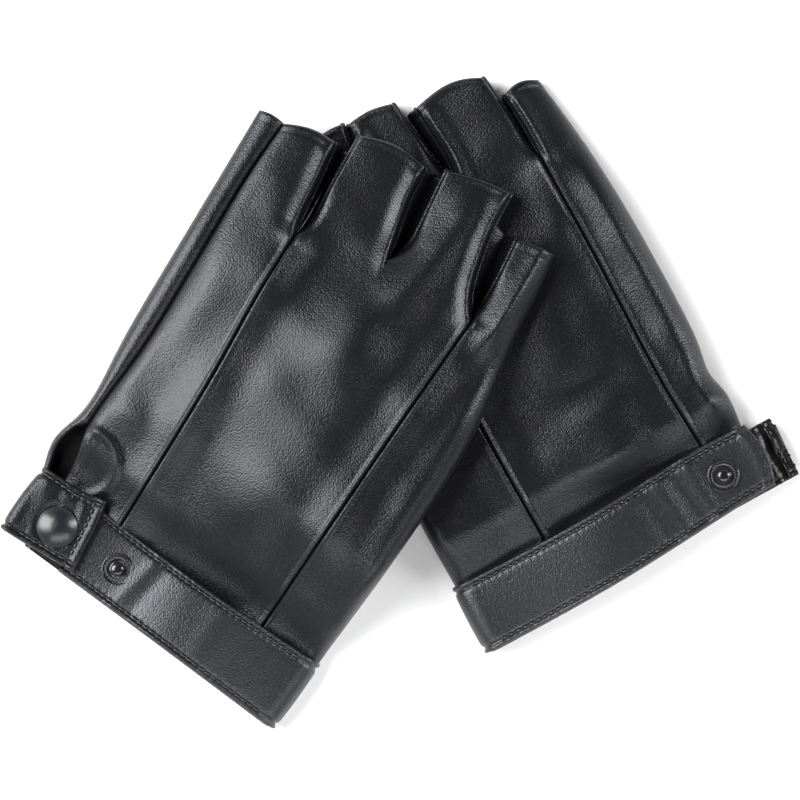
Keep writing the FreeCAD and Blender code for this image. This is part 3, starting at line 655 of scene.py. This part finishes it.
def fourchettes(g):
    """The strips between the fingers, each with a welt where it joins the back."""
    w = np.linspace(0, 1, 22) ** 1.6
    for i, name in enumerate(("index_middle", "middle_ring", "ring_little")):
        grids = []
        for side, k in ((0, i), (1, i + 1)):
            v0, v1 = g.crotch[i][1] - 0.4, g.cut["gaps"][i][side][0 if side == 0 else -1][1]
            v = np.linspace(v0, v1, 60)[:, None]
            u, foot = g.gaps[i][side](v), g.palm_edge(i, side)(v)
            top, bottom = g.back(k, u, v) + 0.1, g.palm(k, foot, v) + 0.2
            z = top - (top - bottom) * w
            u = u + (foot - u) * ease((w - 0.12) / 0.88)
            away = (1 if side == 0 else -1) * ease((v - v0) / 6)
            bead = 0.75 * hump(top - z - 0.5, 0.4) - 0.3 * np.sin(np.pi * w) ** 2
            grid = g.place(u + away * bead, v + 0 * z, z)
            grids.append(grid if side == 0 else grid[:, ::-1])
        piece = sheet(f"{g.name}_fourchette_{name}_leather", grids, LEATHER_SKIN, g, thickness=0.7)
        settle(piece, f"{g.name}_glove", "leather", f"{g.name}_fourchette_{name}")


def thumb(g):
    """The thumb, an empty tube pressed flat under the palm and open at its tip."""
    turn = math.radians(THUMB_LEAN)
    along, angle = np.meshgrid(np.linspace(0.1 - THUMB_HALF, THUMB_LENGTH, 70),
                               np.linspace(0, 2 * np.pi, 64, endpoint=False), indexing="ij")
    round_base = np.sqrt(np.maximum(0, THUMB_HALF ** 2 - along ** 2))
    half = np.where(along < 0, round_base, THUMB_HALF - 2 * along / THUMB_LENGTH)
    x = half * np.sign(np.cos(angle)) * np.abs(np.cos(angle)) ** 0.8
    u = THUMB_U + x * math.cos(turn) - along * math.sin(turn)
    v = THUMB_V + x * math.sin(turn) + along * math.cos(turn)
    base = g.pile(*g.table_xy(u, v)) * ease((v - BAND_EDGE) / LIFT_EASE)
    tall = 1.65 * np.minimum(1, (half / 5) ** 0.5)
    z = base + 1.9 + tall * np.sign(np.sin(angle)) * np.abs(np.sin(angle)) ** 0.45
    rings = g.place(u, v, z)
    rows, around = rings.shape[:2]
    faces = grid_faces(rows, around, flip=g.flip > 0, closed=True)
    faces.append(tuple(range(around)) if g.flip > 0 else tuple(range(around - 1, -1, -1)))
    piece = make(f"{g.name}_thumb_leather", rings.reshape(-1, 3), faces, LEATHER_SKIN)
    solid = piece.modifiers.new("thickness", "SOLIDIFY")
    solid.thickness = 0.8 * MM
    solid.offset = -1
    settle(piece, f"{g.name}_glove", "leather", f"{g.name}_thumb_panel")


# Cuffs

def lip(t):
    """An edge's profile from the edge inwards: rolled, then a lip, then the groove for the stitches."""
    return 0.2 * hump(t - 0.75, 0.5) - 0.4 * hump(t - STITCH_INSET, 0.5) - 0.5 * roll(t, 0.45)


def pucker(t, along):
    """The leather drawn in round each stitch."""
    return -0.13 * (1 + np.cos(2 * np.pi * along / STITCH_PITCH)) * hump(t - STITCH_INSET, 1.1)


def bulge(low, high):
    """0 at both edges of a band and 1 along its middle."""
    return np.maximum(0.0, np.sin(np.pi * low / (low + high))) ** 0.6


def edge_points(low, high):
    """Places across a band, close together near its two edges."""
    near = np.array([0, 0.08, 0.2, 0.38, 0.6, 0.85, 1.1, 1.35, 1.6, 1.8, 2.0, 2.25, 2.6, 3.1, 3.8, 4.8])
    far = np.linspace(0, 1, 13)[1:-1]
    inner = near[-1] + (high - low - 2 * near[-1]) * far
    return np.concatenate([low + near, low + inner, high - near[::-1]])


def band(name, g, stations, edges, relief, thick, material, end=None):
    """A folded band swept along stations (u, z, normal u, normal z, along), its outer face in relief."""
    rings = []
    for u, z, nu, nz, along in stations:
        low, high = edges(u)
        v = edge_points(low, high)
        out = relief(u, v - low, high - v, along)
        if nz < 0.0:
            out = np.minimum(out, 0.0)
        back = v[::-4]
        inner = -thick + 0.25 * np.maximum(roll(back - low, 0.6), roll(high - back, 0.6))
        vv, depth = np.concatenate([v, back]), np.concatenate([out, inner])
        uu = u + nu * depth
        if end:
            uu = end(uu, vv)
        rings.append(g.place(uu, vv, z + nz * depth))
    return loft(name, rings, material)


def run(u0, u1, z, nz, step, along=0.0):
    """Stations along a flat stretch from u0 to u1."""
    count = max(2, int(abs(u1 - u0) / step) + 1)
    return [(u, z, 0.0, nz, along + abs(u - u0)) for u in np.linspace(u0, u1, count)]


def bend(u, z, radius, first, last, count, along=0.0, square=1.0):
    """Stations round part of a circle pressed towards a square, with angles from the vertical."""
    a = np.radians(np.linspace(first, last, count))
    sin, cos = np.sin(a), np.cos(a)
    x, y = np.sign(sin) * np.abs(sin) ** square, np.sign(cos) * np.abs(cos) ** square
    nx, ny = np.sign(sin) * np.abs(sin) ** (2 - square), np.sign(cos) * np.abs(cos) ** (2 - square)
    size = np.hypot(nx, ny)
    return [(u + radius * p, z + radius * q, m / c, n / c, along)
            for p, q, m, n, c in zip(x, y, nx, ny, size)]


def cuff(g, start, stop, end=None):
    """The cuff band and the facing inside it, from the end of its back round to its palm side's end."""
    turn = g.cut["band_low"][-1][0] + 0.3 - CUFF_TOP / 2
    for name, out, thick, inset, material in (("band", 0.0, 1.4, 0.0, LEATHER_BAND),
                                              ("facing", 1.5, 0.4, -0.35, FACING)):
        path = run(start, turn, CUFF_TOP - out, 1, 0.55)
        path += bend(turn, CUFF_TOP / 2, CUFF_TOP / 2 - out, 8, 172, 22, turn - start)
        path += run(turn, stop, out, -1, 2.0)

        def edges(u):
            return g.band_low(u) + inset, g.band_top(u) - abs(inset)

        def relief(u, low, high, along):
            if name == "facing":
                return -0.2 * roll(low, 0.3)
            face = 0.4 * bulge(low, high) + g.cuff_waves(u, low)
            return face + lip(low) + lip(high) + pucker(low, along) + pucker(high, along)

        piece = band(f"{g.name}_cuff_{name}_leather", g, path, edges, relief, thick, material, end)
        settle(piece, f"{g.name}_glove", "leather" if name == "band" else "facing", f"{g.name}_cuff_{name}")


def stitches(name, g, rows, height, body, *nodes):
    """Raised stitches along rows of (u, v) points, in one piece; height gives the leather's z at (u, v)."""
    rings, count = [], 0
    tau = np.linspace(0, 1, 9)[:, None]
    angle = np.linspace(0, 2 * np.pi, 8, endpoint=False)[None, :]
    for points in rows:
        points = np.array(points, float)
        leg = np.hypot(*np.diff(points, axis=0).T)
        walked = np.concatenate([[0], np.cumsum(leg)])
        for i in range(int((walked[-1] - STITCH) / STITCH_PITCH) + 1):
            a, b = (np.array([np.interp(i * STITCH_PITCH + d, walked, points[:, n]) for n in (0, 1)])
                    for d in (0.0, STITCH))
            way = (b - a) / np.hypot(*(b - a))
            side = np.array([-way[1], way[0]])
            lean = 0.16 * (tau - 0.5)
            radius = THREAD_RADIUS * np.sqrt(np.sin(np.pi * (0.06 + 0.88 * tau)))
            u = a[0] + (b - a)[0] * tau + side[0] * (lean + radius * np.cos(angle))
            v = a[1] + (b - a)[1] * tau + side[1] * (lean + radius * np.cos(angle))
            mid = (a + b) / 2
            z = height(*mid) + 0.02 + 0.14 * np.sin(np.pi * tau) + radius * np.sin(angle)
            rings += list(g.place(u, v, z))
            count += 1
    piece = loft(name, rings, THREAD, count)
    settle(piece, body, "thread", *nodes)


def cuff_stitches(g, first, last):
    """The two rows of stitches along the back of the cuff."""
    def height(u, v):
        low, high = v - g.band_low(u), g.band_top(u) - v
        return CUFF_TOP + float(g.cuff_waves(u, low)) + 0.4 * float(bulge(low, high)) - 0.18

    u = np.linspace(first, last, 160)
    for name, line, inset in (("top", g.band_top, -STITCH_INSET), ("hem", g.band_low, STITCH_INSET)):
        stitches(f"{g.name}_cuff_{name}_thread", g, [list(zip(u, line(u) + inset))], height,
                 f"{g.name}_glove", f"{g.name}_cuff_{name}_stitches")


# Snaps

def snap_stud(g):
    """The open half of the snap: a rim, a ring of fine ribs and a round knob."""
    rim = [(0.3, -0.4), (4.2, -0.4), (4.72, -0.25), (4.85, 0.15), (4.8, 0.55), (4.55, 0.75), (4.3, 0.62)]
    ring = [(4.15, 0.25), (4.0, 0.15), (3.8, 0.42), (3.6, 0.6), (3.35, 0.66), (3.1, 0.6), (2.9, 0.42)]
    knob = [(2.7, 0.1), (2.3, 0.05), (1.95, 0.3), (1.75, 0.9), (1.72, 1.3), (1.95, 1.75), (1.9, 2.2),
            (1.6, 2.55), (1.0, 2.75), (0.3, 2.8)]
    u, v = g.cut["stud"]
    rise = 0.25 + float(g.cuff_waves(u, v))
    piece = turned(f"{g.name}_snap_stud_metal", g, (u, v), CUFF_TOP + rise, rim + ring + knob, STUD,
                   ribs=(26, 2.85, 3.85, 0.13), around=312)
    settle(piece, f"{g.name}_glove", "snap_metal", f"{g.name}_snap_stud")
    inside = CUFF_TOP - 2.1
    rivet = [(0.3, 0.1), (3.4, 0.05), (4.0, -0.1), (4.2, -0.35), (4.1, -0.5), (3.3, -0.5), (2.6, -0.35),
             (1.4, -0.3), (0.3, -0.25)]
    piece = turned(f"{g.name}_snap_post_metal", g, (u, v), inside, rivet, LACQUER)
    settle(piece, f"{g.name}_glove", "snap_metal", f"{g.name}_snap_post")


def snap_head(g, outer, inner, down, body):
    """The cap on a tab's outer face and the socket on its inner face."""
    at = g.cut["snap"]
    rim, rise = 6.0, 2.1
    ball = (rim * rim + rise * rise) / (2 * rise)
    dome = [(r, 0.45 + rise - ball + math.sqrt(ball * ball - r * r)) for r in np.linspace(rim, 0.3, 24)]
    cap = [(0.3, -0.3), (5.5, -0.3), (5.95, -0.15), (6.15, 0.1), (6.13, 0.33)] + dome
    piece = turned(f"{g.name}_snap_cap_metal", g, at, outer, cap, CAP, down)
    settle(piece, body, "snap_metal", f"{g.name}_snap_cap")
    socket = [(0.3, 0.3), (1.9, 0.3), (2.1, 0.9), (2.15, 1.9), (2.3, 2.15), (2.7, 2.2), (3.6, 1.9),
              (4.6, 1.9), (4.9, 2.1), (5.2, 2.0), (5.4, 1.6), (5.35, 0.1), (5.1, -0.1), (0.3, -0.1)]
    piece = turned(f"{g.name}_snap_socket_metal", g, at, inner, socket[::-1], LACQUER, not down)
    settle(piece, body, "snap_metal", f"{g.name}_snap_socket")


# Tabs

TAB_HINGE_U, TAB_RISE = -43.85, 12.7
TAB_START, TAB_FLAT_END = -50.2, -25.0
STRAP_LOW, STRAP_THICK = 2.75, 1.7
STRAP_TIP, STRAP_TILT = 54.6, 0.0215
TAB_TOP = Line([(-50.2, 21.2), (-44.0, 21.8), (-36.0, 22.0), (-28.3, 23.5)], "u")
TAB_LOW = Line([(-50.2, -0.9), (-40.0, -0.1), (-24.2, 1.4)], "u")
TAB_END = Line([(-28.3, 23.6), (-26.6, 16.5), (-25.1, 7.5), (-24.0, 1.3)])


def upper_tab(g):
    """The tab, which goes on from the palm side of the band, round the fold and over the cuff."""
    half = TAB_RISE / 2
    flat = TAB_FLAT_END
    for name, out, thick, inset, material in (("tab", 0.0, 1.25, 0.0, LEATHER_SKIN),
                                              ("facing", 1.3, 0.4, -0.25, FACING)):
        path = run(-41.0, TAB_HINGE_U, out, -1, 0.6)[:-1]
        path += bend(TAB_HINGE_U, half, half - out, -178, -2, 46, square=0.4)
        path += run(TAB_HINGE_U + 0.4, flat, TAB_RISE - out, 1, 0.45)

        def edges(u):
            u = max(u, TAB_START)
            return TAB_LOW(u) + inset, TAB_TOP(u) - abs(inset)

        def relief(u, low, high, along):
            if name == "facing":
                return 0.0 * low
            edge = flat - u
            pillow = 0.35 * ease((edge - 3.8) / 3.0) * bulge(low, high)
            at_cap = np.hypot(u - g.cut["snap"][0], low - g.cut["snap"][1] - 0.5)
            pillow = pillow - 0.5 * (1 - ease((at_cap - 5.6) / 2.4))
            end_lip = 0.3 * hump(edge - 1.6, 1.0) - 0.55 * hump(edge - 3.6, 0.55) - 0.9 * roll(edge, 0.9)
            return (pillow + lip(low) + lip(high) + end_lip + pucker(low, along) + pucker(high, along)
                    + 0.16 * np.sin(0.9 * u + 0.25 * low) * ease((edge - 4) / 4))

        def end(u, v):
            reach = ease((u + 46.0) / (flat + 46.0))
            return u + (TAB_END(v) - flat) * reach

        piece = band(f"{g.name}_snap_{name}_leather", g, path, edges, relief, thick, material, end)
        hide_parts(f"{g.name}_snap_tab" if name == "tab" else f"{g.name}_tab_facing")
        x, y = g.table_xy(TAB_START, 10.0)
        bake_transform(piece)
    u = np.linspace(-47.0, -30.6, 40)
    v = np.linspace(19.8, 4.2, 40)
    rows = [list(zip(u, TAB_TOP(u) - STITCH_INSET)), list(zip(TAB_END(v) - 3.6, v)),
            list(zip(u[::-1] + 1.5, TAB_LOW(u[::-1] + 1.5) + STITCH_INSET))]
    stitches(f"{g.name}_tab_thread", g, rows, lambda u, v: TAB_RISE - 0.15, f"{g.name}_tab",
             f"{g.name}_tab_stitches")
    snap_head(g, TAB_RISE, TAB_RISE - 1.7, False, f"{g.name}_tab")


def strap_edge(v, u):
    """The strap's edge that is at v at its tip, a little lower further along."""
    return v - STRAP_TILT * (u + STRAP_TIP)


def lower_strap(g):
    """The strap tucked under the cuff's end, its inner face up, creased and frayed at its tip."""
    bottom, top = STRAP_LOW, STRAP_LOW + STRAP_THICK
    layers = ("facing", top, 0.4, FACING), ("tab", top - 0.45, 1.2, LEATHER_SKIN)
    for name, z, thick, material in layers:
        path = run(-54.7, -8.0, z, 1, 0.4)

        def edges(u):
            return strap_edge(3.6, u), strap_edge(22.4, u)

        def relief(u, low, high, along):
            wave = 0.5 * np.sin(0.55 * low + 1.0) * hump(u + 53.0, 2.2)
            crease = -0.9 * hump(u + 50.6 + 0.35 * np.sin(0.5 * low), 0.5) + 0.5 * hump(u + 52.2, 0.8)
            shown = 1 - ease((u + 47.5) / 1.5)
            return (wave + crease + 0.5 * hump(u + 48.6, 0.9)) * shown + 0.3 * lip(low) + 0.3 * lip(high)

        def end(u, v, torn=0.0 if name == "tab" else 0.35):
            near = 1 - ease((u + 54.7) / 2.0)
            jag = 0.35 * np.sin(3.7 * v) + 0.3 * np.sin(8.1 * v + 1) + 0.22 * np.sin(15.3 * v + torn * 9)
            return u + near * jag * (0.6 + torn)

        piece = band(f"{g.name}_snap_{name}_leather", g, path, edges, relief, thick, material, end)
        settle(piece, f"{g.name}_tab", "leather" if name == "tab" else "facing",
               f"{g.name}_snap_tab" if name == "tab" else f"{g.name}_tab_facing")
    u = np.linspace(-50.0, -11.0, 60)
    v = np.linspace(19.0, 6.5, 30)
    rows = [list(zip(u, strap_edge(20.6, u))), list(zip(u[::-1], strap_edge(5.4, u[::-1]))),
            list(zip(-52.9 + 0 * v, v))]
    stitches(f"{g.name}_tab_thread", g, rows, lambda u, v: top + 0.05, f"{g.name}_tab",
             f"{g.name}_tab_stitches")
    snap_head(g, bottom, top, True, f"{g.name}_tab")


def rounded_end(u, v):
    """The lower cuff's back ends in a soft bow."""
    f = np.clip((v - 4.4) / 19.6, 0, 1)
    return u - 2.1 * np.sin(np.pi * f) * (1 - ease((u + 47.0) / 9.0))


for g in (lower, upper):
    back_panels(g)
    palm_panel(g)
    linings(g)
    fourchettes(g)
    thumb(g)
    snap_stud(g)
side_strip(upper)
cuff(upper, -28.5, TAB_HINGE_U + 2.8)
cuff_stitches(upper, -27.5, 45.0)
upper_tab(upper)
cuff(lower, -47.0, -29.5, rounded_end)
cuff_stitches(lower, -43.5, 46.0)
lower_strap(lower)


# Floor, light and camera

FIELD, DISTANCE, SENSOR = 0.2381, 2.5, 36
SHIFT = (0.00024, 0.00092)


def floor():
    """White paper with a very faint mottle."""
    bpy.ops.mesh.primitive_plane_add(size=6, location=(0, 0, -0.0002))
    plane = bpy.context.object
    plane.name = "floor"
    material, nodes, links, main = shader("paper floor", (0.92, 0.92, 0.92), 0.6)
    noise = nodes.new("ShaderNodeTexNoise")
    noise.inputs["Scale"].default_value = 4
    ramp = nodes.new("ShaderNodeValToRGB")
    ramp.color_ramp.elements[0].color = (0.90, 0.90, 0.90, 1)
    ramp.color_ramp.elements[1].color = (0.94, 0.94, 0.94, 1)
    links.new(noise.outputs["Fac"], ramp.inputs[0])
    links.new(ramp.outputs[0], main.inputs["Base Color"])
    plane.data.materials.append(material)


def area(name, at, size, power):
    """A rectangular softbox that faces the middle of the gloves."""
    light = bpy.data.lights.new(name, "AREA")
    light.shape = "RECTANGLE"
    light.size, light.size_y = size
    light.energy = power
    holder = bpy.data.objects.new(name, light)
    bpy.context.scene.collection.objects.link(holder)
    holder.location = at
    way = -holder.location
    holder.rotation_euler = way.to_track_quat("-Z", "Y").to_euler()


def studio():
    """A world that is dim overhead and brighter near the horizon."""
    world = bpy.data.worlds.new("studio")
    world.use_nodes = True
    nodes, links = world.node_tree.nodes, world.node_tree.links
    place = nodes.new("ShaderNodeTexCoord")
    split = nodes.new("ShaderNodeSeparateXYZ")
    ramp = nodes.new("ShaderNodeValToRGB")
    low, high = ramp.color_ramp.elements
    low.position, low.color = 0.0, (1.5, 1.53, 1.6, 1)
    high.position, high.color = 0.6, (0.07, 0.07, 0.075, 1)
    links.new(place.outputs["Generated"], split.inputs[0])
    links.new(split.outputs["Z"], ramp.inputs[0])
    links.new(ramp.outputs[0], nodes["Background"].inputs["Color"])
    nodes["Background"].inputs["Strength"].default_value = 0.8
    bpy.context.scene.world = world


def lights_and_camera():
    scene = bpy.context.scene
    area("softbox left", (-0.95, 0.28, 0.88), (1.0, 1.1), 42)
    area("softbox right", (1.2, 0.25, 0.7), (0.4, 0.9), 16)
    area("softbox front", (0.1, -0.85, 0.95), (1.5, 0.45), 10)
    camera = bpy.data.cameras.new("camera")
    camera.sensor_width = SENSOR
    camera.lens = SENSOR * DISTANCE / FIELD
    holder = bpy.data.objects.new("camera", camera)
    scene.collection.objects.link(holder)
    holder.location = (*SHIFT, DISTANCE)
    scene.camera = holder
    scene.view_settings.view_transform = "Standard"


studio()
floor()
lights_and_camera()
